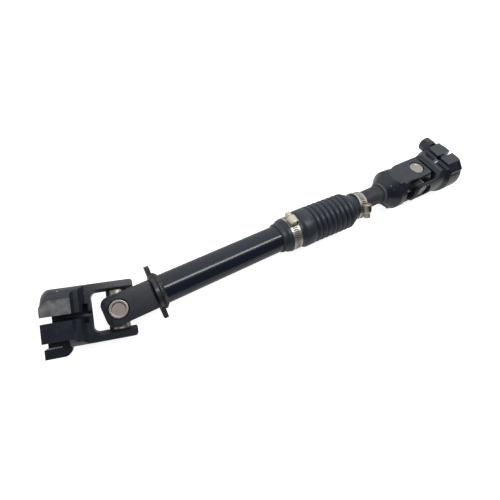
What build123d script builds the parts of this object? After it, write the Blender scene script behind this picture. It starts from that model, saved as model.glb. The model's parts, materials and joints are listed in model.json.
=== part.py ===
from build123d import *
from math import atan, cos, degrees, pi, radians, sin, sqrt, tan
import os

# Intermediate steering shaft: a telescoping shaft with a universal joint and a clamp yoke at each end.
# Millimetres. X runs along the shaft from the column end to the gear end, +Z is up.
# The origin is the centre of the gear clamp's mouth, so the whole shaft lies at negative X.

# Overall lengths along the shaft
joint_span = 331.2          # between the two universal joint centres
gear_reach = 54.4           # gear joint centre to the mouth of the gear clamp
column_reach = 53.4         # column joint centre to the mouth of the column clamp

# How the shaft lies, in degrees
lie_roll = 14.9             # turn of the tube yoke's pins away from upright
yoke_phase = 30.9           # turn between the tube yoke and the shaft yoke
column_bend = 15.7          # bend of the column joint as it lies

# Running and seating clearances
run_gap = 0.03              # radial, trunnion in its cup
slide_gap = 0.06            # all round, spline in its bushing
seat_gap = 0.01             # radial, pieces that are pressed or pushed together
shy = 0.05                  # axial, seal and trunnion end to the cup

# Universal joint crosses and bearing cups
cup_od = 16.0
cup_face = 18.2             # cup's closed face from the joint centre
cup_mouth = 8.6             # cup's open edge from the joint centre
cup_wall = 2.0
cup_floor = 1.9
cup_rim_chamfer = 1.0
dish_d = 10.8
dish_depth = 0.5
cross_shoulder_d = 14.6
cross_shoulder = 7.45
cross_body = 6.9            # half height of the cross's forged middle
cross_width = 12.6
seal_d = 15.4

# Ears of the two shaft-side yokes
ear_face = 18.8             # ear's outer face from the joint centre
ear_gap = 25.0              # between the ears
tube_ear_width = 23.8
tube_ear_tip = 11.2         # ear end past the joint centre
tube_ear_corner = 6.4
shaft_ear_width = 25.6
shaft_ear_tip = 13.0
shaft_ear_corner = 6.5
throat = 24.0               # joint centre to the bottom of the gap between the ears
throat_corner = 4.0
ear_bevel = 1.8
ear_relief = 2.4            # bevel along an ear's inner edges, room for the other yoke's arms

# Arms of the two clamp yokes
column_arm_od = 48.4
column_arm_flat = 22.4      # flat outer face of an arm from the joint centre
gear_arm_od = 42.6
gear_spotface = 19.2        # seat milled round each cup, from the joint centre
spotface_d = 20.0
arm_gap = 30.4
arm_width = 21.0
arm_tip = 12.6
arm_tip_corner = 2.0
arm_relief = 2.0            # bevel along an arm's inner edges
window_end = 19.2           # joint centre to the end of the column yoke's window
gear_window_end = 21.4
window_corner = 4.0

# Tube yoke base, stop plate and weld
base_end = 30.2             # joint centre to the face that carries the stop plate
base_taper_start = 27.6
base_end_face = 12.6        # half height of the base where it meets the plate
spigot_length = 12.0
stop_thickness = 3.8
stop_disc_d = 30.0
stop_tab_width = 8.0
stop_tab_reach = 23.0
stop_tab_corner = 1.2
stop_plate_turn = 8.0       # the plate sits turned against the yoke by this much, in degrees
weld_length = 4.2
weld_d = 32.4
weld_crown = 2.0

# Outer tube
tube_od = 25.4
tube_wall = 2.3
free_shaft = 155.8          # tube's mouth to the gear joint centre
tube_mouth = joint_span - free_shaft

# Splined inner shaft and its bushing
spline_teeth = 36
spline_tip_d = 19.4
spline_root_d = 17.8
spline_tip_share = 0.36     # part of the pitch taken by a tooth's crest
spline_root_share = 0.34
shaft_overlap = 42.0        # length of spline inside the tube
bushing_length = 35.0
bushing_inset = 1.0

# Rubber boot; it and its clamps keep their places from the tube's mouth
boot_start = tube_mouth - 22.8
lip_d = 28.6
lip_length = 5.2
seat_d = 31.8
seat_end = tube_mouth - 1.1
bell_d = 36.8
bell_start = tube_mouth + 1.8
fold_start = tube_mouth + 13.8
fold_count = 8
fold_pitch = 5.8
fold_crest_d = 36.6
fold_root_d = 32.2
fold_flat = 1.6             # width of each crest and each root
boot_wall = 1.7
nose_start = tube_mouth + 67.6
nose_d = 26.4
boot_end = tube_mouth + 82.1
collar_length = 16.0

# Worm-drive clamps
band_thickness = 0.8
band_width = 9.2
large_band_at = tube_mouth - 8.7
small_band_at = tube_mouth + 75.2
large_clamp_roll = -13.5    # housing's turn about X from upright
small_clamp_roll = 38.0
small_clamp_lean = 8.0      # the small clamp was pulled tight at this angle to square
lean_roll = -67.0           # side of the shaft where the leaning band is nearest the gear end
nose_shift = 1.8            # the boot's nose is squeezed off centre, away from that side
housing_length = 8.8
housing_width = 8.6
housing_height = 5.4
housing_skirt = 1.6         # sides of the housing reach this far below the band's top
housing_corner = 1.2
screw_d = 4.8
screw_length = 9.2
screw_head_d = 6.4
screw_head_length = 4.2
screw_lift = 3.2            # screw axis above the band
screw_slot = 1.1
screw_recess = 0.6          # end of the screw inside the housing's open end

# Shaft yoke collar, stations from the gear joint centre
collar_d = 41.4
collar_near = 27.0
collar_far = 35.0
collar_back = 45.8
collar_back_d = 23.4
collar_flat = 19.2          # flats on the collar from the axis
waist_width = 22.0
waist_at = 29.0
shaft_seat = 21.0           # length of the shaft held in the yoke
swage_d = 22.6
swage_length = 3.0
swage_step = 0.6

# Column clamp
column_hub_d = 47.0
column_bore_d = 19.1
column_hub_start = 32.5
column_web_width = 28.0
column_edge = 8.0
column_slot = 4.7
column_slot_end = 19.0
far_side_end = column_reach - 4.4   # the side away from the pads stops here
pad_face = 19.0             # flat side of the hub from its axis
pad_top = 13.0
pad_bottom = -16.2
pad_edge = 1.2
pad_corner = 5.0            # round of the upper pad's end by the mouth
relief_from = 21.3
relief_to = 25.2
relief_low = -6.5
relief_high = 8.0
hook_from = column_reach - 17.6
hook_to = column_reach + 0.8
hook_root = 6.2
hook_gap = 5.4              # space between the hub and the hook below it
hook_thickness = 7.2
hook_far = -9.0             # sides of the hook from the bore's axis
hook_near = 5.0
hook_corner = 5.0
ledge_from = column_reach - 11.4
ledge_to = column_reach - 2.0
ledge_side = 4.5
ledge_drop = 4.5
column_bolt_d = 8.0
column_bolt_at = column_reach - 8.4
column_bolt_offset = 13.2   # bolt axis from the bore's axis
column_bolt_top = 10.0      # blind end of the threaded hole
bolt_play = 0.2

# Gear clamp
gear_hub_d = 49.0
gear_bore_d = 20.6
gear_hub_start = 34.6
gear_hub_blend = 5.5
gear_neck_width = 31.0
gear_edge = 1.6
gear_slot = 3.6
gear_slot_end = 27.5
boss_top = 20.2             # flat top of the boss from the bore's axis
boss_near = 21.6            # side of the boss away from the bolt's head
boss_seat = 18.6            # side of the boss under the bolt's head
boss_bevel_top = 13.6       # bevel of the far top corner, half width at the top
boss_bevel_foot = 13.4      # and height at its foot
boss_corner = 1.6           # small bevel of the corner by the bolt's head
boss_from = 36.4
boss_inset = 1.0
pinch_bolt_d = 8.0
pinch_bolt_at = 44.2
pinch_bolt_offset = 14.4
pinch_bolt_tip = 13.0       # blind end of the bolt from the bore's axis
bolt_tip_room = 1.5
bolt_head_af = 13.0
bolt_head_length = 8.2
bolt_flange_d = 15.6
bolt_flange = 1.6
washer_d = 15.0
washer_thickness = 2.2

# Derived places
gear_joint = -gear_reach
column_joint = gear_joint - joint_span
cup_r = cup_od / 2
trunnion_r = cup_r - cup_wall - run_gap
tube_r = tube_od / 2
tube_bore_r = tube_r - tube_wall
tube_start = base_end + stop_thickness
shaft_start = tube_mouth - shaft_overlap
shaft_end = joint_span - collar_back + shaft_seat
collar_r = nose_d / 2 - 3.0
long_cut = 200.0            # any length that passes right through a yoke


def turned(points):
    """Solid of revolution about X from its (x, radius) outline."""
    return revolve(make_face(Polyline(*points, close=True)), Axis.X)


def block(x0, x1, y0, y1, z0, z1):
    """Box between two values on each axis."""
    centre = ((x0 + x1) / 2, (y0 + y1) / 2, (z0 + z1) / 2)
    return Pos(*centre) * Box(x1 - x0, y1 - y0, z1 - z0)


def rod_x(radius, x0, x1, y=0.0, z=0.0):
    """Round bar along X."""
    return Pos((x0 + x1) / 2, y, z) * Rot(0, 90, 0) * Cylinder(radius, x1 - x0)


def rod_z(radius, z0, z1, x=0.0, y=0.0):
    """Round bar along Z."""
    return Pos(x, y, (z0 + z1) / 2) * Cylinder(radius, z1 - z0)


def slab_xy(points, z0, z1):
    """Flat outline in XY raised from z0 to z1."""
    return Pos(0, 0, z0) * extrude(make_face(Polyline(*points, close=True)), z1 - z0)


def slab_xz(points, half_width):
    """Outline in XZ spread to both sides of Y = 0."""
    face = make_face(Polyline(*[(x, 0, z) for x, z in points], close=True))
    return extrude(face, half_width, dir=(0, 1, 0), both=True)


def slab_yz(points, x0, x1):
    """Outline in YZ raised from x0 to x1."""
    face = make_face(Polyline(*[(x0, y, z) for y, z in points], close=True))
    return extrude(face, x1 - x0, dir=(1, 0, 0))


def edges_along(shape, axis, test):
    """Edges along an axis whose centre passes a test."""
    return [e for e in shape.edges().filter_by(axis) if test(e.center())]


# Places for sub-parts drawn about a joint centre, pins along Z and shank along +X

def at_gear(shape, roll):
    """Put a piece whose shank points to the gear end on the gear joint."""
    return Pos(gear_joint, 0, 0) * Rot(roll, 0, 0) * shape


def at_gear_back(shape, roll):
    """Put a piece whose shank points to the column end on the gear joint."""
    return Pos(gear_joint, 0, 0) * Rot(roll, 0, 0) * Rot(0, 0, 180) * shape


def at_column(shape, roll):
    """Put a piece whose shank points to the gear end on the column joint."""
    return Pos(column_joint, 0, 0) * Rot(roll, 0, 0) * shape


def at_column_back(shape, roll):
    """Put a piece of the bent column yoke on the column joint."""
    return Pos(column_joint, 0, 0) * Rot(roll, 0, 0) * Rot(0, 0, 180) * Rot(0, -column_bend, 0) * shape


tube_yoke_roll = lie_roll
column_yoke_roll = lie_roll - 90
shaft_yoke_roll = lie_roll - yoke_phase
gear_yoke_roll = shaft_yoke_roll + 90


def bearing_cup():
    """Closed cup that is pressed into an ear, open towards the joint centre."""
    bore_r = cup_r - cup_wall
    rim = cup_r - cup_rim_chamfer
    outline = [
        (bore_r, cup_mouth), (cup_r, cup_mouth),
        (cup_r, cup_face - cup_rim_chamfer), (rim, cup_face),
        (dish_d / 2, cup_face), (dish_d / 2 - dish_depth, cup_face - dish_depth),
        (0, cup_face - dish_depth), (0, cup_face - dish_depth - cup_floor),
        (bore_r, cup_face - dish_depth - cup_floor),
    ]
    face = make_face(Polyline(*[(r, 0, z) for r, z in outline], close=True))
    return revolve(face, Axis.Z)


def cross():
    """Forged cross with four trunnions, two along Z and two along Y."""
    tip = cup_face - dish_depth - cup_floor - shy
    body = Box(cross_width, 2 * cross_body, 2 * cross_body)
    body = chamfer(body.edges().filter_by(Axis.X), cross_body - cross_width / 2)
    for turn in (0, 90):
        arm = rod_z(cross_shoulder_d / 2, cross_body, cross_shoulder)
        arm = arm + Rot(180, 0, 0) * arm + rod_z(trunnion_r, -tip, tip)
        body = body + Rot(turn, 0, 0) * arm
    return body


def seal():
    """Rubber ring between the cross shoulder and a cup's open edge."""
    ring = rod_z(seal_d / 2, cross_shoulder, cup_mouth - shy)
    return ring - rod_z(trunnion_r, 0, cup_mouth)


def seals():
    """The four seals of one cross."""
    return [Rot(angle, 0, 0) * seal() for angle in (0, 90, 180, 270)]


def inner_bevels(half_width, face, bevel, x0, x1):
    """Bars that cut a bevel along the inner edges of two ears or arms."""
    bars = []
    for y in (1, -1):
        for z in (1, -1):
            corner = [(half_width - bevel, face - 1), (half_width + 1, face - 1),
                      (half_width + 1, face + bevel + 1), (half_width - bevel, face)]
            bars.append(slab_yz([(y * a, z * b) for a, b in corner], x0, x1))
    return bars


def ear_bores(shape):
    """Bore both ears along Z for the bearing cups."""
    return shape - rod_z(cup_r + seat_gap, -long_cut / 2, long_cut / 2)


def tube_yoke():
    """Forged yoke with two flat ears, a thick base and a spigot inside the tube."""
    half = tube_ear_width / 2
    plan = slab_xy([(-tube_ear_tip, -half), (base_end, -half), (base_end, half), (-tube_ear_tip, half)],
                   -long_cut / 4, long_cut / 4)
    base = [(base_taper_start, ear_face), (base_end, base_end_face),
            (base_end, -base_end_face), (base_taper_start, -ear_face)]
    shape = strap_ears(plan, half, tube_ear_tip, tube_ear_corner, base)
    return shape + rod_x(tube_bore_r - seat_gap, base_end - 1, tube_start + spigot_length)


def strap_ears(plan, half_width, tip, corner, base):
    """Two flat ears on a common base, cut to a plan and bored for the cups."""
    half = ear_gap / 2
    outer = ear_face - ear_bevel
    side = [(-tip, half), (-tip, outer), (-tip + ear_bevel * 2, ear_face)] + base + [
        (-tip + ear_bevel * 2, -ear_face), (-tip, -outer), (-tip, -half),
        (throat - throat_corner, -half), (throat, -half + throat_corner),
        (throat, half - throat_corner), (throat - throat_corner, half),
    ]
    plan = fillet(edges_along(plan, Axis.Z, lambda c: c.X < -tip + 0.1), corner)
    shape = slab_xz(side, long_cut / 4) & plan
    for bar in inner_bevels(half_width, half, ear_relief, -tip - 1, throat):
        shape = shape - bar
    return ear_bores(shape)


def stop_plate():
    """Plate with two tabs between the yoke's base and the tube."""
    disc = rod_x(stop_disc_d / 2, base_end, tube_start)
    tabs = block(base_end, tube_start, -stop_tab_reach, stop_tab_reach,
                 -stop_tab_width / 2, stop_tab_width / 2)
    tabs = fillet(edges_along(tabs, Axis.X, lambda c: True), stop_tab_corner)
    return disc + tabs - rod_x(tube_bore_r, base_end - 1, tube_start + 1)


def tube_weld():
    """Fillet weld between the tube and the stop plate."""
    r = tube_r + seat_gap
    return turned([
        (tube_start, r), (tube_start, weld_d / 2), (tube_start + weld_crown, weld_d / 2 - 0.3),
        (tube_start + weld_length * 0.75, tube_r + 1.6), (tube_start + weld_length, r),
    ])


def outer_tube():
    """Plain steel tube from the stop plate to its open mouth under the boot."""
    tube = rod_x(tube_r, tube_start, tube_mouth)
    return tube - rod_x(tube_bore_r, tube_start - 1, tube_mouth + 1)


def spline_outline(grow):
    """Closed outline of the spline in YZ, grown all round by a clearance."""
    pitch = 2 * pi / spline_teeth
    tip_r = spline_tip_d / 2 + grow
    root_r = spline_root_d / 2 + grow
    tip_half = pitch * spline_tip_share / 2 + grow / tip_r
    root_half = pitch * spline_root_share / 2 - grow / root_r
    points = []
    for tooth in range(spline_teeth):
        crest = tooth * pitch
        root = crest + pitch / 2
        for radius, angle in ((tip_r, crest - tip_half), (tip_r, crest + tip_half),
                              (root_r, root - root_half), (root_r, root + root_half)):
            points.append((radius * cos(angle), radius * sin(angle)))
    return points


def slide_bushing():
    """Nylon sleeve in the tube's mouth, toothed inside to suit the shaft."""
    x1 = tube_mouth - bushing_inset
    x0 = x1 - bushing_length
    sleeve = rod_x(tube_bore_r - seat_gap, x0, x1)
    return sleeve - slab_yz(spline_outline(slide_gap), x0 - 1, x1 + 1)


def inner_shaft():
    """Splined bar that slides in the tube and is held in the shaft yoke."""
    bar = slab_yz(spline_outline(0), shaft_start, shaft_end)
    lead = spline_tip_d / 2 - 1.2
    blank = turned([(shaft_start, 0), (shaft_start, lead), (shaft_start + 1.5, spline_tip_d / 2 + 0.5),
                    (shaft_end, spline_tip_d / 2 + 0.5), (shaft_end, 0)])
    return bar & blank


def fold_points(crest_r, root_r):
    """Outline of the boot's folds from the bell to the nose."""
    points = []
    half = fold_pitch / 2
    for fold in range(fold_count):
        x = fold_start + fold * fold_pitch
        points += [(x, root_r), (x + fold_flat, root_r), (x + half, crest_r), (x + half + fold_flat, crest_r)]
    return points


def dust_boot():
    """Rubber boot: cuff on the tube, bell, eight folds and a nose on the collar ring."""
    folds_end = fold_start + fold_count * fold_pitch
    outer = [
        (boot_start, lip_d / 2 - 0.8), (boot_start + 0.8, lip_d / 2),
        (boot_start + lip_length, lip_d / 2), (boot_start + lip_length + 0.8, seat_d / 2),
        (seat_end, seat_d / 2), (bell_start, bell_d / 2), (fold_start - 1.5, bell_d / 2),
    ] + fold_points(fold_crest_d / 2, fold_root_d / 2) + [
        (folds_end, fold_root_d / 2 + 0.2), (folds_end + 2, fold_root_d / 2 + 0.6),
        (nose_start, nose_d / 2 - 0.5), (nose_start + 1, collar_r + 1), (boot_end - 1, collar_r + 1),
    ]
    inner = [
        (boot_end - 1, collar_r + seat_gap), (nose_start, collar_r + seat_gap),
        (folds_end, fold_root_d / 2 - boot_wall), (fold_start, fold_root_d / 2 - boot_wall),
        (fold_start - 2, bell_d / 2 - boot_wall), (bell_start + 1, bell_d / 2 - boot_wall),
        (tube_mouth + 0.5, tube_r + seat_gap + 1.2), (tube_mouth - 1, tube_r + seat_gap),
        (boot_start, tube_r + seat_gap),
    ]
    nose = off_centre(rod_x(nose_d / 2, nose_start, boot_end)) - rod_x(collar_r + seat_gap, 0, joint_span)
    return turned(outer + inner) + nose


def off_centre(shape):
    """Shift a piece of the boot's gear end by the amount that the nose sits off centre."""
    side = radians(lean_roll)
    return Pos(0, nose_shift * sin(side), -nose_shift * cos(side)) * shape


def boot_collar():
    """Plastic ring that carries the boot's nose on the splines."""
    ring = rod_x(collar_r, boot_end - collar_length, boot_end)
    return ring - rod_x(spline_tip_d / 2 + seat_gap, 0, joint_span)


def clamp_band(at, seat_r, lean):
    """Steel band of a worm-drive clamp, square to the shaft or leaning."""
    ring = rod_x(seat_r + seat_gap + band_thickness, at - band_width, at + band_width)
    ring = ring - rod_x(seat_r + seat_gap, at - band_width, at + band_width)
    slab = Box(band_width, 4 * seat_r, 4 * seat_r)
    return ring & (Pos(at, 0, 0) * Rot(lean_roll, 0, 0) * Rot(0, lean, 0) * slab)


def on_band(shape, at, seat_r, roll, lean):
    """Put a piece drawn over the axis on the band, turned to follow the band where it sits."""
    away = radians(roll - lean_roll)
    shift = seat_r * tan(radians(lean)) * cos(away)
    turn = degrees(atan(tan(radians(lean)) * sin(away)))
    return Pos(column_joint + at + shift, 0, 0) * Rot(roll, 0, 0) * Rot(0, 0, -turn) * shape


def clamp_housing(seat_r):
    """Pressed screw housing that bridges the band, screw along Y."""
    floor_r = seat_r + seat_gap + band_thickness
    top = floor_r + housing_height
    shape = block(-housing_width / 2, housing_width / 2,
                  -housing_length / 2, housing_length / 2, floor_r - housing_skirt, top)
    crown = edges_along(shape, Axis.Y, lambda c: c.Z > top - 0.1)
    shape = fillet(crown, housing_width / 3)
    bore = Rot(90, 0, 0) * Cylinder(screw_d / 2 + run_gap, housing_length * 2)
    return shape - Pos(0, 0, floor_r + screw_lift) * bore


def placed_housing(at, seat_r, roll, lean):
    """A housing on its band, hollowed to the band's round."""
    floor = rod_x(seat_r + seat_gap + band_thickness, at - 2 * band_width, at + 2 * band_width)
    return on_band(clamp_housing(seat_r), at, seat_r, roll, lean) - Pos(column_joint, 0, 0) * floor


def turned_end(shape):
    """Turn a screw end for end, so that its head is on the other side of the housing."""
    return Rot(0, 0, 180) * shape


def clamp_screw(seat_r):
    """Worm screw of a clamp, with a slotted hexagon head."""
    floor_r = seat_r + seat_gap + band_thickness
    screw_z = floor_r + screw_lift
    body = Cylinder(screw_d / 2, screw_length)
    head_z = screw_length / 2
    hexagon = extrude(RegularPolygon(screw_head_d / 2, 6), screw_head_length)
    head = Pos(0, 0, head_z) * hexagon
    slot_z = head_z + screw_head_length
    slot = Pos(0, 0, slot_z) * Box(screw_slot, screw_head_d * 2, 2.4)
    shape = body + head - slot
    shift = (screw_length - housing_length) / 2 + screw_recess
    return Pos(0, 0, screw_z) * Rot(-90, 0, 0) * Pos(0, 0, shift) * shape


def shaft_yoke():
    """Forged yoke on the inner shaft: two flat ears and a heavy collar with flats."""
    full = shaft_ear_width / 2
    waist = waist_width / 2
    plan = slab_xy([(-shaft_ear_tip, -full), (cup_r, -full), (waist_at, -waist), (collar_far, -waist),
                    (collar_far, waist), (waist_at, waist), (cup_r, full), (-shaft_ear_tip, full)],
                   -long_cut / 4, long_cut / 4)
    base = [(collar_near, ear_face), (collar_far, collar_flat), (collar_far, -collar_flat),
            (collar_near, -ear_face)]
    ears = strap_ears(plan, full, shaft_ear_tip, shaft_ear_corner, base)
    blank = turned([
        (collar_near - 3, 0), (collar_near - 3, collar_d / 2 - 3), (collar_near, collar_d / 2),
        (collar_far, collar_d / 2), (collar_back, collar_back_d / 2), (collar_back, 0),
    ])
    flats = block(0, collar_back, -collar_d, collar_d, -collar_flat, collar_flat)
    shape = ears + (blank & flats)
    return shape - rod_x(spline_tip_d / 2 + seat_gap, collar_back - shaft_seat - seat_gap, collar_back + 1)


def swage_ring():
    """Rolled bead that locks the shaft at the back of the yoke's collar."""
    x1 = joint_span - collar_back
    x0 = x1 - swage_length
    r = spline_tip_d / 2 + seat_gap
    return turned([(x0, r), (x0, r + swage_step), (x0 + swage_step, swage_d / 2),
                   (x1, swage_d / 2), (x1, r)])


def with_window(shape, end):
    """Cut the space between the arms through along Y, with rounded inner corners."""
    half = arm_gap / 2
    cut = block(-arm_tip - 5, end, -long_cut / 4, long_cut / 4, -half, half)
    shape = shape - fillet(edges_along(cut, Axis.Y, lambda c: c.X > end - 0.1), window_corner)
    for bar in inner_bevels(arm_width / 2, half, arm_relief, -arm_tip - 1, end - window_corner):
        shape = shape - bar
    return shape


def flank_cut(side, arm_end, neck_end, neck_half):
    """Material milled off one flank: deep beside the arms, shallow beside the neck."""
    a = arm_width / 2
    far = long_cut / 4
    points = [(-arm_tip - 5, a), (arm_end - 4, a), (arm_end, neck_half), (neck_end - 2, neck_half),
              (neck_end, neck_half + 2), (neck_end, far), (-arm_tip - 5, far)]
    return slab_xy([(x, side * y) for x, y in points], -far, far)


def column_yoke():
    """Forged clamp yoke for the steering column, with flat pads beside the slot and a hook below."""
    far = long_cut / 4
    hub_r = column_hub_d / 2
    arm_r = column_arm_od / 2
    end = column_reach + 1
    shape = turned([
        (-arm_tip, 0), (-arm_tip, arm_r - arm_tip_corner), (-arm_tip + arm_tip_corner, arm_r),
        (window_end, arm_r), (column_hub_start, hub_r), (column_reach, hub_r), (column_reach, 0),
    ])
    shape = fillet(shape.edges().filter_by(GeomType.CIRCLE).sort_by(Axis.X)[-1], column_edge)
    shape = shape & block(-arm_tip, column_reach, -far, far, -column_arm_flat, column_arm_flat)
    shape = shape - block(column_hub_start, end, pad_face, far, -far, far)
    pad = block(column_hub_start, column_reach, 0, pad_face, pad_bottom, pad_top)
    pad = chamfer(edges_along(pad, Axis.X, lambda c: c.Y > 1 and c.Z > 0), pad_edge)
    mouth = edges_along(pad, Axis.Y, lambda c: c.X > column_reach - 0.1 and c.Z > 0)
    shape = shape + fillet(mouth, pad_corner)
    # Room for the bolt's head below the pads, and the hook beside it
    hook_top = pad_bottom - hook_gap
    hook_bottom = hook_top - hook_thickness
    shape = shape - block(hook_from + hook_root, end, -far, far, -far, pad_bottom)
    shape = shape - block(hook_from, end, hook_near, far, -far, pad_bottom)
    shape = shape - block(far_side_end, end, -far, 0, pad_bottom, far)
    hook = block(hook_from, hook_to, hook_far, hook_near, hook_bottom, hook_top)
    hook = hook + block(hook_from, hook_from + hook_root, hook_far, hook_near, hook_bottom, pad_bottom)
    hook = fillet(edges_along(hook, Axis.Y, lambda c: c.X < hook_from + 1 and c.Z < hook_top), hook_corner)
    ledge = block(ledge_from, ledge_to, 0, ledge_side, pad_bottom - ledge_drop, pad_bottom + 1)
    shape = shape + hook + ledge
    for side in (1, -1):
        shape = shape - flank_cut(side, window_end + 8, column_hub_start, column_web_width / 2)
    shape = ear_bores(with_window(shape, window_end))
    shape = shape - rod_x(column_bore_d / 2, window_end - 1, end)
    half_slot = column_slot / 2
    shape = shape - block(column_slot_end, end, 0, far, -half_slot, half_slot)
    shape = shape - block(relief_from, relief_to, 0, far, relief_low, relief_high)
    return shape - rod_z(column_bolt_d / 2, pad_bottom - 1, column_bolt_top, column_bolt_at,
                         column_bolt_offset)


def gear_yoke():
    """Forged clamp yoke for the steering gear, with a flat-topped boss for the pinch bolt."""
    far = long_cut / 4
    hub_r = gear_hub_d / 2
    arm_r = gear_arm_od / 2
    end = gear_reach + 1
    shape = turned([
        (-arm_tip, 0), (-arm_tip, arm_r - arm_tip_corner), (-arm_tip + arm_tip_corner, arm_r),
        (gear_hub_start - gear_hub_blend, arm_r), (gear_hub_start, hub_r),
        (gear_reach - gear_edge, hub_r), (gear_reach, hub_r - gear_edge), (gear_reach, 0),
    ])
    shape = shape + slab_yz([(0, -boss_seat), (boss_top - boss_corner, -boss_seat),
                             (boss_top, -boss_seat + boss_corner), (boss_top, boss_bevel_top),
                             (boss_bevel_foot, boss_near), (0, boss_near)],
                            boss_from, gear_reach - boss_inset)
    shape = shape - block(gear_hub_start - 1, end, boss_top, far, -far, far)
    shape = shape - block(boss_from, end, 3.5, far, -far, -boss_seat)
    for side in (1, -1):
        shape = shape - flank_cut(side, window_end + 5, gear_hub_start - 4 + 4 * side, gear_neck_width / 2)
    shape = ear_bores(with_window(shape, gear_window_end))
    shape = shape - rod_z(spotface_d / 2, gear_spotface, far) - rod_z(spotface_d / 2, -far, -gear_spotface)
    shape = shape - rod_x(gear_bore_d / 2, gear_window_end - 1, end)
    half_slot = gear_slot / 2
    shape = shape - block(gear_slot_end, end, 0, far, -half_slot, half_slot)
    bolt_r = pinch_bolt_d / 2
    shape = shape - rod_z(bolt_r + bolt_play, -far, 0, pinch_bolt_at, pinch_bolt_offset)
    return shape - rod_z(bolt_r + seat_gap, 0, pinch_bolt_tip + bolt_tip_room, pinch_bolt_at,
                         pinch_bolt_offset)


def bolt_washer():
    """Thick washer under the pinch bolt's head."""
    z1 = -boss_seat - seat_gap
    ring = rod_z(washer_d / 2, z1 - washer_thickness, z1, pinch_bolt_at, pinch_bolt_offset)
    return ring - rod_z(pinch_bolt_d / 2 + bolt_play, z1 - washer_thickness - 1, z1 + 1, pinch_bolt_at,
                        pinch_bolt_offset)


def pinch_bolt():
    """Flanged hexagon bolt across the slot of the gear clamp."""
    seat = -boss_seat - washer_thickness - 2 * seat_gap
    shank = rod_z(pinch_bolt_d / 2, seat - 1, pinch_bolt_tip, pinch_bolt_at, pinch_bolt_offset)
    shank = chamfer(shank.edges().sort_by(Axis.Z)[-1], 1.0)
    flange = rod_z(bolt_flange_d / 2, seat - bolt_flange, seat, pinch_bolt_at, pinch_bolt_offset)
    hexagon = extrude(RegularPolygon(bolt_head_af / sqrt(3), 6), bolt_head_length)
    rim_r = bolt_head_af / 2 - 0.6
    crown = Pos(0, 0, bolt_head_length / 2) * Cone(rim_r, rim_r + 1.0 + bolt_head_length, bolt_head_length)
    top = seat - bolt_flange - bolt_head_length
    return shank + flange + Pos(pinch_bolt_at, pinch_bolt_offset, top) * (hexagon & crown)


def rolled(shape, roll):
    """Turn a piece drawn on the shaft's own stations and put it at the column joint."""
    return Pos(column_joint, 0, 0) * Rot(roll, 0, 0) * shape


large_seat_r = seat_d / 2
small_seat_r = nose_d / 2
cup = bearing_cup()
under_cup = Rot(180, 0, 0) * cup

nodes = {
    "column_yoke": at_column_back(column_yoke(), column_yoke_roll),
    "column_cup_upper": at_column_back(cup, column_yoke_roll),
    "column_cup_lower": at_column_back(under_cup, column_yoke_roll),
    "column_cross": at_column_back(cross(), column_yoke_roll),
    "column_seals": Compound(children=[at_column_back(s, column_yoke_roll) for s in seals()]),
    "tube_cup_near": at_column(cup, tube_yoke_roll),
    "tube_cup_far": at_column(under_cup, tube_yoke_roll),
    "tube_yoke": at_column(tube_yoke(), tube_yoke_roll),
    "stop_plate": at_column(stop_plate(), tube_yoke_roll + stop_plate_turn),
    "tube_weld": rolled(tube_weld(), 0),
    "outer_tube": rolled(outer_tube(), 0),
    "slide_bushing": rolled(slide_bushing(), 0),
    "dust_boot": rolled(dust_boot(), 0),
    "large_clamp_band": rolled(clamp_band(large_band_at, large_seat_r, 0), 0),
    "large_clamp_housing": placed_housing(large_band_at, large_seat_r, large_clamp_roll, 0),
    "large_clamp_screw": on_band(clamp_screw(large_seat_r), large_band_at, large_seat_r, large_clamp_roll, 0),
    "boot_collar": rolled(boot_collar(), 0),
    "small_clamp_band": off_centre(rolled(clamp_band(small_band_at, small_seat_r, small_clamp_lean), 0)),
    "small_clamp_housing": off_centre(placed_housing(small_band_at, small_seat_r, small_clamp_roll,
                                                     small_clamp_lean)),
    "small_clamp_screw": off_centre(on_band(turned_end(clamp_screw(small_seat_r)), small_band_at,
                                            small_seat_r, small_clamp_roll, small_clamp_lean)),
    "inner_shaft": rolled(inner_shaft(), 0),
    "swage_ring": rolled(swage_ring(), 0),
    "shaft_yoke": at_gear_back(shaft_yoke(), shaft_yoke_roll),
    "shaft_cup_upper": at_gear(cup, shaft_yoke_roll),
    "shaft_cup_lower": at_gear(under_cup, shaft_yoke_roll),
    "gear_cross": at_gear(cross(), shaft_yoke_roll),
    "gear_seals": Compound(children=[at_gear(s, shaft_yoke_roll) for s in seals()]),
    "gear_cup_near": at_gear(cup, gear_yoke_roll),
    "gear_cup_far": at_gear(under_cup, gear_yoke_roll),
    "gear_yoke": at_gear(gear_yoke(), gear_yoke_roll),
    "bolt_washer": at_gear(bolt_washer(), gear_yoke_roll),
    "pinch_bolt": at_gear(pinch_bolt(), gear_yoke_roll),
}

os.makedirs("parts", exist_ok=True)
for name, shape in nodes.items():
    export_step(shape, f"parts/{name}.step")
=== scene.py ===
import json
from math import atan, atan2, cos, pi, radians, sin, tan

import bpy
from mathutils import Matrix, Vector


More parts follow.
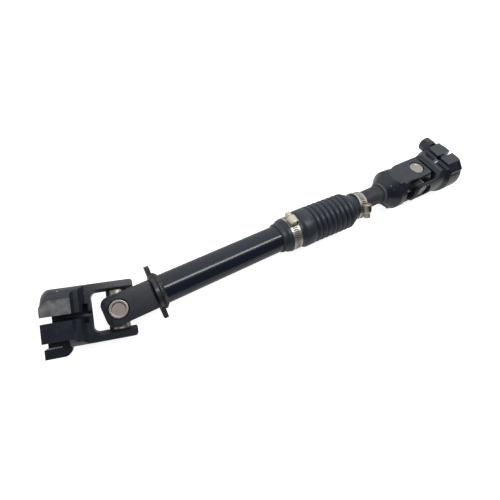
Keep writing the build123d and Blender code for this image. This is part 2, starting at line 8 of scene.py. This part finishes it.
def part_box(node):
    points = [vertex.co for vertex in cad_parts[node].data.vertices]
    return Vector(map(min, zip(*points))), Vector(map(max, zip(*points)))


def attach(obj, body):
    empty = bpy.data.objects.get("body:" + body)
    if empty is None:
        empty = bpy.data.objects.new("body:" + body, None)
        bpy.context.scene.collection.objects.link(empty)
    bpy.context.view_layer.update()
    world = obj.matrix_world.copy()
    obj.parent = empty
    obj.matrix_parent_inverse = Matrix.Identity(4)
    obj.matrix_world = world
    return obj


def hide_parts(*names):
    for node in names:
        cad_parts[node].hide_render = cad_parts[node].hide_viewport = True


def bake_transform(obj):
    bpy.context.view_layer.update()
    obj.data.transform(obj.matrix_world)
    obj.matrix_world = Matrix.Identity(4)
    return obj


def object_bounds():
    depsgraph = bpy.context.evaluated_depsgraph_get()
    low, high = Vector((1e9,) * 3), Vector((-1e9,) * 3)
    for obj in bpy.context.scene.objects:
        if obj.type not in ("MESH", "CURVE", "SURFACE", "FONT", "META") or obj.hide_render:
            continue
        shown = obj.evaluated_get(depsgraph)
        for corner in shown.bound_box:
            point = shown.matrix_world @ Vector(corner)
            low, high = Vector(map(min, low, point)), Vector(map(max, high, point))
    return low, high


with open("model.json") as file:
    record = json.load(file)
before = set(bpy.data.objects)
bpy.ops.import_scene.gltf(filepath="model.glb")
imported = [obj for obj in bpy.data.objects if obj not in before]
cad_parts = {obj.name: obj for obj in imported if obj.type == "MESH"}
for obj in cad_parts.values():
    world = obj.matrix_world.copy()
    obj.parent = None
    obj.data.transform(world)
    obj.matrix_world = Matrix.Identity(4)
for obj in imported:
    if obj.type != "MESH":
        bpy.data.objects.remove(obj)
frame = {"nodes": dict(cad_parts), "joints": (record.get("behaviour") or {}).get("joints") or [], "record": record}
size_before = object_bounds()

# Places along the shaft, from the part's own joints and pieces
joint = {j["name"]: j for j in frame["joints"]}
column_centre = Vector(joint["tube_pins"]["pos_m"])
tube_low, tube_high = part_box("outer_tube")
tube_radius = (tube_high.z - tube_low.z) / 2


def from_column(station):
    """Point on the shaft's axis, at a distance in metres from the column joint's centre."""
    return column_centre + Vector((station, 0, 0))


# Camera: where the photograph was taken from
camera_place = (-0.38912, -0.0778, 0.31764)
camera_right = Vector((0.85254, -0.47174, 0.22501))
camera_up = Vector((0.37676, 0.85307, 0.36101))
camera_back = Vector((-0.36225, -0.22300, 0.90501))
camera_lens = 27.607
camera_sensor = 36.0


def add_camera():
    bpy.ops.object.camera_add(location=camera_place)
    camera = bpy.context.object
    camera.name = "photo_camera"
    camera.data.lens = camera_lens
    camera.data.sensor_width = camera_sensor
    camera.data.clip_start = 0.01
    turn = Matrix((camera_right, camera_up, camera_back)).transposed()
    camera.rotation_euler = turn.to_euler()
    bpy.context.scene.camera = camera


def new_material(name, colour, roughness, metallic=0.0, specular=0.5):
    """A plain principled material; returns it with its nodes, links and shader."""
    material = bpy.data.materials.new(name)
    material.use_nodes = True
    nodes = material.node_tree.nodes
    shader = nodes["Principled BSDF"]
    shader.inputs["Base Color"].default_value = (*colour, 1)
    shader.inputs["Roughness"].default_value = roughness
    shader.inputs["Metallic"].default_value = metallic
    shader.inputs["Specular IOR Level"].default_value = specular
    return material, nodes, material.node_tree.links, shader


def noise(nodes, links, scale, detail=4.0):
    """Noise on object coordinates, in features per metre."""
    coordinates = nodes.new("ShaderNodeTexCoord")
    texture = nodes.new("ShaderNodeTexNoise")
    texture.inputs["Scale"].default_value = scale
    texture.inputs["Detail"].default_value = detail
    links.new(coordinates.outputs["Object"], texture.inputs["Vector"])
    return texture


def ramp(nodes, links, source, stops):
    """Colour ramp from (place, colour) stops."""
    node = nodes.new("ShaderNodeValToRGB")
    bar = node.color_ramp
    while len(bar.elements) < len(stops):
        bar.elements.new(0.5)
    for element, (at, colour) in zip(bar.elements, stops):
        element.position = at
        element.color = (*colour, 1)
    links.new(source.outputs["Fac"], node.inputs["Fac"])
    return node


def grey(value):
    return (value, value, value)


def bump(nodes, links, source, shader, distance):
    """Bump from a texture's factor, distance in metres."""
    node = nodes.new("ShaderNodeBump")
    node.inputs["Distance"].default_value = distance
    node.inputs["Strength"].default_value = 1.0
    links.new(source.outputs["Fac"], node.inputs["Height"])
    links.new(node.outputs["Normal"], shader.inputs["Normal"])


def forged_paint(name, colour, light, roughness, grain):
    """Black paint over a forging: slight mottling and a fine grain."""
    material, nodes, links, shader = new_material(name, colour, roughness)
    mottle = noise(nodes, links, 160, 5)
    shade = ramp(nodes, links, mottle, [(0.35, colour), (0.72, light)])
    links.new(shade.outputs["Color"], shader.inputs["Base Color"])
    fine = noise(nodes, links, 900, 3)
    bump(nodes, links, fine, shader, grain)
    return material


# Rubbed spots, as (place, radius)
speck_scale = 700
speck_lift = (0.16, -0.5)      # added to the specks at a spot's centre and at its rim
speck_edge = (0.60, 0.70)      # between these values paint gives way to steel
bare_steel = (0.36, 0.36, 0.37, 1)
scuffs = [((-0.4194, 0.0264, 0.0194), 0.006), ((-0.4110, 0.0250, 0.0182), 0.004),
          ((-0.0957, -0.0012, 0.0153), 0.0045), ((-0.0950, -0.0067, 0.0146), 0.003)]


def add_scuffs(material, spots):
    """Paint rubbed through to bright steel in ragged specks round a few (place, radius) spots."""
    nodes, links = material.node_tree.nodes, material.node_tree.links
    shader = nodes["Principled BSDF"]
    below = shader.inputs["Base Color"].links[0].from_socket
    specks = noise(nodes, links, speck_scale, 6)
    where = nodes.new("ShaderNodeTexCoord")
    for centre, radius in spots:
        distance = nodes.new("ShaderNodeVectorMath")
        distance.operation = "DISTANCE"
        distance.inputs[1].default_value = centre
        near = nodes.new("ShaderNodeMapRange")
        near.inputs["From Min"].default_value = 0.0
        near.inputs["From Max"].default_value = radius
        near.inputs["To Min"].default_value, near.inputs["To Max"].default_value = speck_lift
        ragged = nodes.new("ShaderNodeMath")
        ragged.operation = "ADD"
        edge = nodes.new("ShaderNodeMapRange")
        edge.inputs["From Min"].default_value, edge.inputs["From Max"].default_value = speck_edge
        mix = nodes.new("ShaderNodeMixRGB")
        mix.inputs["Color2"].default_value = bare_steel
        links.new(where.outputs["Object"], distance.inputs[0])
        links.new(distance.outputs["Value"], near.inputs["Value"])
        links.new(near.outputs["Result"], ragged.inputs[0])
        links.new(specks.outputs["Fac"], ragged.inputs[1])
        links.new(ragged.outputs[0], edge.inputs["Value"])
        links.new(edge.outputs["Result"], mix.inputs["Fac"])
        links.new(below, mix.inputs["Color1"])
        below = mix.outputs["Color"]
    links.new(below, shader.inputs["Base Color"])


def gloss_paint():
    """Smooth gloss paint of the tube."""
    colour = (0.007, 0.011, 0.021)
    material, nodes, links, shader = new_material("gloss_tube_paint", colour, 0.2)
    fine = noise(nodes, links, 500, 2)
    bump(nodes, links, fine, shader, 0.00001)
    return material


def plated_steel(name, colour, roughness, grain):
    """Bare or plated steel with a soft, uneven shine."""
    material, nodes, links, shader = new_material(name, colour, roughness, metallic=1.0)
    patches = noise(nodes, links, 300, 4)
    spread = nodes.new("ShaderNodeMapRange")
    spread.inputs["To Min"].default_value = roughness * 0.8
    spread.inputs["To Max"].default_value = roughness * 1.3
    links.new(patches.outputs["Fac"], spread.inputs["Value"])
    links.new(spread.outputs["Result"], shader.inputs["Roughness"])
    fine = noise(nodes, links, 1500, 3)
    bump(nodes, links, fine, shader, grain)
    return material


def rubber(name, colour, roughness):
    """Matte moulded rubber."""
    material, nodes, links, shader = new_material(name, colour, roughness)
    mottle = noise(nodes, links, 120, 4)
    light = tuple(c * 1.5 for c in colour)
    shade = ramp(nodes, links, mottle, [(0.35, colour), (0.75, light)])
    links.new(shade.outputs["Color"], shader.inputs["Base Color"])
    fine = noise(nodes, links, 1200, 3)
    bump(nodes, links, fine, shader, 0.00003)
    return material


forging = forged_paint("black_forging_paint", (0.009, 0.013, 0.021), (0.018, 0.022, 0.030), 0.22, 0.000012)
add_scuffs(forging, scuffs)
# Rough cast skin for the column clamp's near flat: roughness and bumps are real, its much lighter colour is
# painted highlight
cast_skin_and_highlight = forged_paint("rough_cast_band_and_painted_highlight", (0.045, 0.047, 0.050), (0.19, 0.19, 0.19), 0.5, 0.0002)
tube_paint = gloss_paint()
cup_steel = plated_steel("cup_face_steel", (0.40, 0.37, 0.32), 0.34, 0.000005)
dish_steel = plated_steel("cup_dish_steel", (0.25, 0.215, 0.205), 0.42, 0.00001)
zinc = plated_steel("clamp_zinc", (0.70, 0.63, 0.51), 0.40, 0.000008)
# Clamp bands: the housings' plated steel made darker as painted shade
band_steel_painted_shade = plated_steel("clamp_band_painted_shade", (0.52, 0.48, 0.43), 0.36, 0.000008)
# Slot floors of the bands: near-black as painted shadow
slot_shadow = plated_steel("band_slot_painted_shadow", (0.07, 0.06, 0.05), 0.6, 0.000008)
cross_steel = plated_steel("cross_steel", (0.30, 0.30, 0.31), 0.5, 0.00002)
spline_steel = forged_paint("spline_coating", (0.045, 0.048, 0.058), (0.07, 0.072, 0.08), 0.42, 0.00001)
# Worm screw: brownish steel, made darker as painted shade under its housing
worm_brown_and_shade = plated_steel("worm_screw_brown_painted_shade", (0.20, 0.14, 0.11), 0.5, 0.00001)
weld = forged_paint("weld_bead", (0.010, 0.012, 0.016), (0.060, 0.052, 0.048), 0.40, 0.0001)
boot_rubber = rubber("boot_rubber", (0.016, 0.022, 0.031), 0.42)
plate_paint = forged_paint("stop_plate_paint", (0.013, 0.016, 0.022), (0.060, 0.056, 0.054), 0.30, 0.00004)
seal_rubber = rubber("seal_rubber", (0.02, 0.02, 0.022), 0.6)
nylon = rubber("slide_nylon", (0.6, 0.57, 0.48), 0.5)
bolt_black = forged_paint("bolt_black", (0.010, 0.013, 0.020), (0.022, 0.025, 0.032), 0.30, 0.00001)

finishes = {
    forging: ["column_yoke", "tube_yoke", "shaft_yoke", "gear_yoke"],
    plate_paint: ["stop_plate"],
    tube_paint: ["outer_tube"],
    cup_steel: ["column_cup_upper", "column_cup_lower", "tube_cup_near", "tube_cup_far",
                "shaft_cup_upper", "shaft_cup_lower", "gear_cup_near", "gear_cup_far"],
    zinc: ["large_clamp_band", "large_clamp_housing", "large_clamp_screw",
           "small_clamp_band", "small_clamp_housing", "small_clamp_screw"],
    cross_steel: ["column_cross", "gear_cross"],
    spline_steel: ["inner_shaft", "swage_ring"],
    weld: ["tube_weld"],
    boot_rubber: ["dust_boot", "boot_collar"],
    seal_rubber: ["column_seals", "gear_seals"],
    nylon: ["slide_bushing"],
    bolt_black: ["pinch_bolt", "bolt_washer"],
}


def paint_nodes():
    """Put each node's finish in its material slot."""
    for material, names in finishes.items():
        for name in names:
            mesh = frame["nodes"][name].data
            mesh.materials.clear()
            mesh.materials.append(material)


# Helpers for new pieces
def deselect():
    bpy.ops.object.select_all(action="DESELECT")


def select_only(obj):
    deselect()
    obj.select_set(True)
    bpy.context.view_layer.objects.active = obj


def edit(obj):
    """Go into edit mode on one object with everything selected."""
    select_only(obj)
    bpy.ops.object.mode_set(mode="EDIT")
    bpy.ops.mesh.select_mode(type="VERT")
    bpy.ops.mesh.select_all(action="SELECT")


def end_edit():
    bpy.ops.object.mode_set(mode="OBJECT")


def select_where(obj, kind, test):
    """Select the vertices or faces of an edited mesh that pass a test of their place."""
    bpy.ops.mesh.select_all(action="DESELECT")
    bpy.ops.mesh.select_mode(type=kind)
    bpy.ops.object.mode_set(mode="OBJECT")
    mesh = obj.data
    if kind == "VERT":
        for vertex in mesh.vertices:
            vertex.select = test(vertex.co)
    else:
        for face in mesh.polygons:
            face.select = test(face.center, face.normal)
    bpy.ops.object.mode_set(mode="EDIT")


def place(obj, matrix):
    """Put a piece in its place, and its place in its mesh."""
    obj.matrix_world = matrix
    select_only(obj)
    bpy.ops.object.transform_apply(location=True, rotation=True, scale=True)


def smooth(obj, angle=35):
    select_only(obj)
    bpy.ops.object.shade_smooth_by_angle(angle=radians(angle))


def weighted(obj):
    """Let large flat faces rule the shading at rounded edges."""
    select_only(obj)
    modifier = obj.modifiers.new("normals", "WEIGHTED_NORMAL")
    modifier.keep_sharp = True
    bpy.ops.object.modifier_apply(modifier=modifier.name)


def thickened(obj, thickness):
    """Give an open skin a wall, inwards from its outer face."""
    select_only(obj)
    modifier = obj.modifiers.new("wall", "SOLIDIFY")
    modifier.thickness = thickness
    modifier.offset = -1
    bpy.ops.object.modifier_apply(modifier=modifier.name)


def bevelled(obj, width, segments=2, angle=30):
    """Round the edges that turn by more than an angle."""
    select_only(obj)
    modifier = obj.modifiers.new("edge", "BEVEL")
    modifier.width = width
    modifier.segments = segments
    modifier.limit_method = "ANGLE"
    modifier.angle_limit = radians(angle)
    modifier.use_clamp_overlap = True
    bpy.ops.object.modifier_apply(modifier=modifier.name)


def give(obj, name, material, body, nodes):
    """Name a finished piece, finish it, and let it ride and stand for its nodes."""
    obj.name = name
    if material:
        obj.data.materials.clear()
        obj.data.materials.append(material)
    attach(obj, body)
    if nodes:
        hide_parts(*nodes)


def ringed(rings, sides, centre=lambda height: (0, 0)):
    """A round skin about Z: a circle extruded through (height, radius) rings, each on its own centre."""
    height, radius = rings[0]
    x, y = centre(height)
    deselect()
    bpy.ops.mesh.primitive_circle_add(vertices=sides, radius=radius, location=(x, y, height))
    obj = bpy.context.object
    edit(obj)
    for next_height, next_radius in rings[1:]:
        next_x, next_y = centre(next_height)
        step = (next_x - x, next_y - y, next_height - height)
        bpy.ops.mesh.extrude_region_move(TRANSFORM_OT_translate={"value": step})
        grow = next_radius / radius
        bpy.ops.transform.resize(value=(grow, grow, 1), center_override=(next_x, next_y, next_height))
        x, y, height, radius = next_x, next_y, next_height, next_radius
    bpy.ops.mesh.select_all(action="SELECT")
    bpy.ops.mesh.normals_make_consistent(inside=False)
    end_edit()
    bpy.ops.object.transform_apply(location=True, rotation=True, scale=True)
    return obj


body_of_node = {n: b for b, names in frame["record"]["behaviour"]["bodies"].items() for n in names}


def softened(node, width, segments=2, angle=30):
    """A copy of a node with merged faces and rounded edges, in the node's place."""
    mesh = frame["nodes"][node].data.copy()
    obj = bpy.data.objects.new(node + "_rounded", mesh)
    bpy.context.scene.collection.objects.link(obj)
    edit(obj)
    bpy.ops.mesh.remove_doubles(threshold=0.000002)
    bpy.ops.mesh.dissolve_limited(angle_limit=radians(1.0))
    end_edit()
    bevelled(obj, width, segments, angle)
    smooth(obj)
    weighted(obj)
    give(obj, node + "_rounded", None, body_of_node[node], [node])
    return obj


# Rounding of each node's edges
edge_widths = {
    "column_yoke": 0.0007, "gear_yoke": 0.0007, "shaft_yoke": 0.0008, "tube_yoke": 0.0007,
    "stop_plate": 0.0005, "bolt_washer": 0.0002, "pinch_bolt": 0.0003,
    "tube_cup_near": 0.0003, "shaft_cup_upper": 0.0003, "gear_cup_near": 0.0003,
}

# The column clamp lies bent over on its joint; its near flat is still rough from the forge, and its lighter colour
# there is partly painted highlight
column_roll = radians(-75.1)
column_bend = radians(15.7)
pad_level = 0.0188
pad_low = 0.0022
pad_high = 0.0132
pad_start = 0.0325


def pad_skin_and_highlight(yoke):
    """Give the flat above the column clamp's slot its rough cast skin, made lighter in colour as a painted
    highlight.
    """
    to_joint = (Matrix.Translation(column_centre) @ Matrix.Rotation(column_roll, 4, "X")
                @ Matrix.Rotation(pi, 4, "Z") @ Matrix.Rotation(-column_bend, 4, "Y")).inverted()
    yoke.data.materials.append(cast_skin_and_highlight)
    for face in yoke.data.polygons:
        at = to_joint @ face.center
        if at.x > pad_start and at.y > pad_level and pad_low < at.z < pad_high:
            face.material_index = 1


# Dish in the closed face of the bearing cup nearest the camera
dish_radius = 0.0054
dish_level = 0.0172


def dull_dish(cup):
    """Make the dish of the near cup darker and rougher than the rest of the cup."""
    axis = Vector(joint["tube_pins"]["axis"])
    cup.data.materials.append(dish_steel)
    for face in cup.data.polygons:
        at = face.center - column_centre
        out = at.dot(axis)
        if out > dish_level and (at - axis * out).length < dish_radius:
            face.material_index = 1


# Rubber boot, stations and radii in metres from the column joint's centre
boot_start = 0.1526
lip_radius = 0.0143
lip_end = 0.1582
seat_radius = 0.0159
seat_end = 0.1743
bell_radius = 0.0184
bell_start = 0.1772
fold_start = 0.1892
fold_count = 8
fold_pitch = 0.0058
fold_root = 0.0161
fold_crest = 0.0184
fold_rings = 8
nose_start = 0.243
nose_radius = 0.0132
nose_end = 0.2575
nose_bore = 0.0103
lean_roll = radians(-67)       # side on which the small clamp leans to the gear end
nose_shift = 0.0018            # the nose is squeezed off centre, away from that side
round_edge = 0.0006

folds_end = fold_start + fold_count * fold_pitch
shaft_line = Matrix.Translation(column_centre) @ Matrix.Rotation(pi / 2, 4, "Y")


def nose_offset(share):
    """Shift across the shaft at a share of the way to the nose, in the boot's own X and Y."""
    return (share * nose_shift * cos(lean_roll), share * nose_shift * sin(lean_roll))


def boot_centre(station):
    """The boot hangs off centre more and more from its first fold to its nose."""
    share = (station - fold_start) / (nose_start - fold_start)
    return nose_offset(min(max(share, 0), 1))


def fold_radius(share):
    """Radius across one fold, round on top with a narrow groove at each side."""
    return fold_root + (fold_crest - fold_root) * abs(sin(pi * share)) ** 0.55


def make_boot():
    edge = round_edge
    rings = [(boot_start, tube_radius), (boot_start, lip_radius - 2 * edge),
             (boot_start + edge, lip_radius - edge / 3),
             (boot_start + 2 * edge, lip_radius), (lip_end - edge, lip_radius),
             (lip_end, lip_radius + edge), (lip_end + edge, seat_radius - edge / 3),
             (lip_end + 2 * edge, seat_radius), (seat_end - edge, seat_radius),
             (seat_end + edge, seat_radius + edge), (bell_start - edge, bell_radius - edge),
             (bell_start + edge, bell_radius), (fold_start - 3 * edge, bell_radius),
             (fold_start - edge, bell_radius - edge)]
    for fold in range(fold_count):
        for ring in range(fold_rings):
            share = ring / fold_rings
            rings.append((fold_start + (fold + share) * fold_pitch, fold_radius(share)))
    rings += [(folds_end, fold_root), (folds_end + edge, fold_root + edge), (folds_end + 4 * edge, fold_root),
              (nose_start - edge, nose_radius + edge), (nose_start + edge, nose_radius),
              (nose_end - edge, nose_radius), (nose_end, nose_radius - edge), (nose_end, nose_bore)]
    boot = ringed(rings, 72, boot_centre)
    place(boot, shaft_line)
    smooth(boot, 60)
    boot.name = "boot_skin"
    boot.data.materials.clear()
    boot.data.materials.append(boot_rubber)
    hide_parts("dust_boot")
    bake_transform(boot)


# Worm-drive clamps: each value in metres or radians, as built
band_width = 0.0092
band_thickness = 0.0008
slot_depth = 0.0006
slot_reach = 1.6               # the grid's middle rows are stretched along the shaft by this much
slot_width = 1.4               # and its middle columns round the band by this much
slot_slant = 0.22              # each end of a slot moves along the band by this share of the pitch
merge_distance = 0.00002
housing_half = 0.0044          # half length of a housing along its screw
housing_radius = 0.0043
housing_wall = 0.0007
lip_length = 0.0003            # turned-in lip at the head's end of the housing
lip_share = 0.62
screw_lift = 0.0032            # screw's axis above the band
screw_edge = 0.0008            # rounding of the screw's ends
skirt = 0.0008                 # housing's sides reach this far below the band's face
thread_pitch = 0.0016
thread_root = 0.0023
thread_tip = 0.0028
window_half_width = 0.0026
window_half_length = 0.0030
clamps = {
    "large": {"at": 0.1667, "seat": seat_radius, "roll": radians(-13.5), "lean": 0.0, "slots": 54,
              "window": False, "head": 1, "shift": 0.0, "body": "outer_tube_body"},
    "small": {"at": 0.2506, "seat": nose_radius, "roll": radians(38), "lean": radians(8), "slots": 46,
              "window": True, "head": -1, "shift": 1.0, "body": "sliding_shaft_body"},
}


def off_centre(share):
    """Matrix for the nose's shift across the shaft, in the frame's axes."""
    x, y = nose_offset(share)
    return Matrix.Translation((0, y, -x))


def make_band(name, clamp):
    """Flat band with slanted slots, one patch of it spun round the shaft."""
    outer = clamp["seat"] + band_thickness
    count = clamp["slots"]
    pitch = 2 * outer * tan(pi / count)
    deselect()
    bpy.ops.mesh.primitive_grid_add(x_subdivisions=3, y_subdivisions=3, size=1, location=(outer, 0, 0),
                                    rotation=(0, pi / 2, 0))
    band = bpy.context.object
    band.scale = (band_width, pitch, 1)
    bpy.ops.object.transform_apply(location=True, rotation=True, scale=True)
    edit(band)
    select_where(band, "VERT", lambda at: abs(at.z) < band_width / 4)
    bpy.ops.transform.resize(value=(1, 1, slot_reach), center_override=(outer, 0, 0))
    select_where(band, "VERT", lambda at: abs(at.y) < pitch / 4)
    bpy.ops.transform.resize(value=(1, slot_width, 1), center_override=(outer, 0, 0))
    for side in (1, -1):
        select_where(band, "VERT",
                     lambda at: abs(at.y) < pitch / 3 and 0 < side * at.z < band_width / 3)
        bpy.ops.transform.translate(value=(0, side * pitch * slot_slant, 0))
    bpy.ops.mesh.select_all(action="SELECT")
    bpy.ops.mesh.spin(steps=count - 1, dupli=True, angle=2 * pi * (count - 1) / count,
                      center=(0, 0, 0), axis=(0, 0, 1))
    bpy.ops.mesh.select_all(action="SELECT")
    bpy.ops.mesh.remove_doubles(threshold=merge_distance)
    bpy.ops.mesh.normals_make_consistent(inside=False)
    step = 2 * pi / count

    def is_slot(centre, normal):
        angle = atan2(centre.y, centre.x)
        return abs(centre.z) < band_width / 8 and abs(angle / step - round(angle / step)) < 0.1

    select_where(band, "FACE", is_slot)
    bpy.ops.mesh.extrude_region_shrink_fatten(TRANSFORM_OT_shrink_fatten={"value": -slot_depth})
    # The band's steel is darkened as painted shade
    for material in (band_steel_painted_shade, slot_shadow):
        band.data.materials.append(material)
    # The slot floors take the near-black painted shadow
    band.active_material_index = 1
    bpy.ops.object.material_slot_assign()
    end_edit()
    thickened(band, band_thickness)
    bevelled(band, 0.0001, 1, 50)
    lean = Matrix.Rotation(lean_roll, 4, "X") @ Matrix.Rotation(clamp["lean"], 4, "Y")
    place(band, Matrix.Translation(from_column(clamp["at"])) @ off_centre(clamp["shift"]) @ lean
          @ Matrix.Rotation(pi / 2, 4, "Y"))
    smooth(band, 30)
    give(band, name + "_slotted_band", None, clamp["body"], [name + "_clamp_band"])


def on_band(clamp):
    """Matrix that puts a piece drawn about its screw, Y towards the shaft, on the leaning band."""
    away = clamp["roll"] - lean_roll
    shift = clamp["seat"] * tan(clamp["lean"]) * cos(away)
    turn = atan(tan(clamp["lean"]) * sin(away))
    lift = clamp["seat"] + band_thickness + screw_lift
    station = from_column(clamp["at"] + shift)
    turned = Matrix.Rotation(clamp["roll"], 4, "X") @ Matrix.Rotation(-turn, 4, "Z")
    facing = Matrix.Rotation(0 if clamp["head"] > 0 else pi, 4, "Z")
    return (Matrix.Translation(station) @ off_centre(clamp["shift"]) @ turned @ facing
            @ Matrix.Translation((0, 0, lift)) @ Matrix.Rotation(-pi / 2, 4, "X"))


def make_housing(name, clamp):
    """Pressed arch over the worm, closed round the head's neck, with skirts down to the band."""
    half = housing_half
    radius = housing_radius
    rings = [(-half, radius * 0.97), (-half * 0.9, radius), (-half * 0.6, radius * 1.03), (0, radius * 1.04),
             (half * 0.6, radius * 1.03), (half * 0.85, radius), (half, radius * 0.92)]
    housing = ringed(rings, 32)
    edit(housing)
    select_where(housing, "FACE", lambda centre, normal: centre.y > 0)
    bpy.ops.mesh.delete(type="FACE")
    select_where(housing, "VERT", lambda at: abs(at.y) < 0.00001)
    bpy.ops.mesh.extrude_region_move(TRANSFORM_OT_translate={"value": (0, screw_lift + skirt, 0)})
    select_where(housing, "VERT", lambda at: at.z > half - 0.00001)
    bpy.ops.mesh.extrude_region_move(TRANSFORM_OT_translate={"value": (0, 0, lip_length)})
    bpy.ops.transform.resize(value=(lip_share, lip_share, 1), center_override=(0, 0, half + lip_length))
    if clamp["window"]:
        select_where(housing, "FACE",
                     lambda centre, normal: centre.y < 0 and abs(centre.x) < window_half_width
                     and abs(centre.z) < window_half_length)
        bpy.ops.mesh.delete(type="FACE")
    bpy.ops.mesh.select_all(action="SELECT")
    bpy.ops.mesh.normals_make_consistent(inside=False)
    end_edit()
    thickened(housing, housing_wall)
    bevelled(housing, 0.00015, 2, 40)
    place(housing, on_band(clamp))
    smooth(housing, 40)
    give(housing, name + "_worm_housing", zinc, clamp["body"], [name + "_clamp_housing"])


def make_thread(name, clamp):
    """Ridges of the worm's thread on the screw."""
    rings = []
    turns = int(2 * housing_half / thread_pitch)
    start = -turns * thread_pitch / 2
    for turn in range(turns):
        foot = start + turn * thread_pitch
        rings += [(foot, thread_root), (foot + thread_pitch * 0.3, thread_tip),
                  (foot + thread_pitch * 0.6, thread_tip), (foot + thread_pitch * 0.9, thread_root)]
    thread = ringed(rings, 32)
    place(thread, on_band(clamp))
    smooth(thread, 20)
    # The thread's dark brown is partly painted shade
    give(thread, name + "_worm_thread", worm_brown_and_shade, clamp["body"], [])


def make_clamps():
    for name, clamp in clamps.items():
        make_band(name, clamp)
        make_housing(name, clamp)
        make_thread(name, clamp)
        softened(name + "_clamp_screw", screw_edge, 3)


# Weld between the tube and the stop plate
ripple_depth = 0.00045
ripple_seed = 4


def make_weld():
    low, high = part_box("tube_weld")
    length = high.x - low.x
    rings = [(0, tube_radius), (0, tube_radius * 1.2), (length * 0.2, tube_radius * 1.24),
             (length * 0.45, tube_radius * 1.21), (length * 0.7, tube_radius * 1.12),
             (length * 0.9, tube_radius * 1.04), (length, tube_radius)]
    bead = ringed(rings, 96)
    edit(bead)
    select_where(bead, "VERT", lambda at: at.xy.length > tube_radius * 1.02)
    bpy.ops.transform.vertex_random(offset=ripple_depth, uniform=0.3, normal=0.7, seed=ripple_seed)
    end_edit()
    place(bead, Matrix.Translation((low.x, 0, 0)) @ Matrix.Rotation(pi / 2, 4, "Y"))
    smooth(bead, 60)
    give(bead, "weld_bead", weld, "outer_tube_body", ["tube_weld"])


# Studio: white floor, bright side and roof behind the shaft, dark on the viewer's side
floor_size = 6.0
floor_gap = 0.0002
floor_level = size_before[0].z - floor_gap
floor_grey = 0.82
floor_glow = 0.86              # seen by the camera only, it lights nothing
sky_from = -0.25               # the sky brightens between these values of Y
sky_to = 0.35
sky_dark = 0.10
sky_bright = 1.05
sky_colour = (0.94, 0.97, 1.0, 1)
lamp_place = (-0.02, -0.07, 0.75)
lamp_width = 0.10
lamp_length = 0.7
lamp_watts = 3.0


def add_floor():
    bpy.ops.mesh.primitive_plane_add(size=floor_size, location=(column_centre.x / 2, 0, floor_level))
    floor = bpy.context.object
    floor.name = "studio_floor"
    material, nodes, links, shader = new_material("studio_floor", grey(floor_grey), 0.9, specular=0.0)
    glow = nodes.new("ShaderNodeEmission")
    path = nodes.new("ShaderNodeLightPath")
    both = nodes.new("ShaderNodeAddShader")
    strength = nodes.new("ShaderNodeMath")
    strength.operation = "MULTIPLY"
    strength.inputs[1].default_value = floor_glow
    links.new(path.outputs["Is Camera Ray"], strength.inputs[0])
    links.new(strength.outputs[0], glow.inputs["Strength"])
    links.new(shader.outputs[0], both.inputs[0])
    links.new(glow.outputs[0], both.inputs[1])
    links.new(both.outputs[0], nodes["Material Output"].inputs["Surface"])
    floor.data.materials.append(material)


def add_lamp():
    """Soft strip over the shaft, along it and facing down."""
    bpy.ops.object.light_add(type="AREA", location=lamp_place)
    lamp = bpy.context.object
    lamp.name = "overhead_strip"
    lamp.data.shape = "RECTANGLE"
    lamp.data.size = lamp_length
    lamp.data.size_y = lamp_width
    lamp.data.energy = lamp_watts


def add_world():
    world = bpy.data.worlds.new("studio_world")
    bpy.context.scene.world = world
    world.use_nodes = True
    nodes, links = world.node_tree.nodes, world.node_tree.links
    coordinates = nodes.new("ShaderNodeTexCoord")
    split = nodes.new("ShaderNodeSeparateXYZ")
    spread = nodes.new("ShaderNodeMapRange")
    spread.inputs["From Min"].default_value = sky_from
    spread.inputs["From Max"].default_value = sky_to
    spread.inputs["To Min"].default_value = sky_dark
    spread.inputs["To Max"].default_value = sky_bright
    nodes["Background"].inputs["Color"].default_value = sky_colour
    links.new(coordinates.outputs["Generated"], split.inputs["Vector"])
    links.new(split.outputs["Y"], spread.inputs["Value"])
    links.new(spread.outputs["Result"], nodes["Background"].inputs["Strength"])


add_camera()
deselect()
paint_nodes()
add_floor()
add_world()
for node, width in edge_widths.items():
    softened(node, width)
pad_skin_and_highlight(bpy.data.objects["column_yoke_rounded"])
dull_dish(bpy.data.objects["tube_cup_near_rounded"])
make_boot()
make_clamps()
make_weld()
add_lamp()

bpy.context.scene.view_settings.view_transform = "Standard"
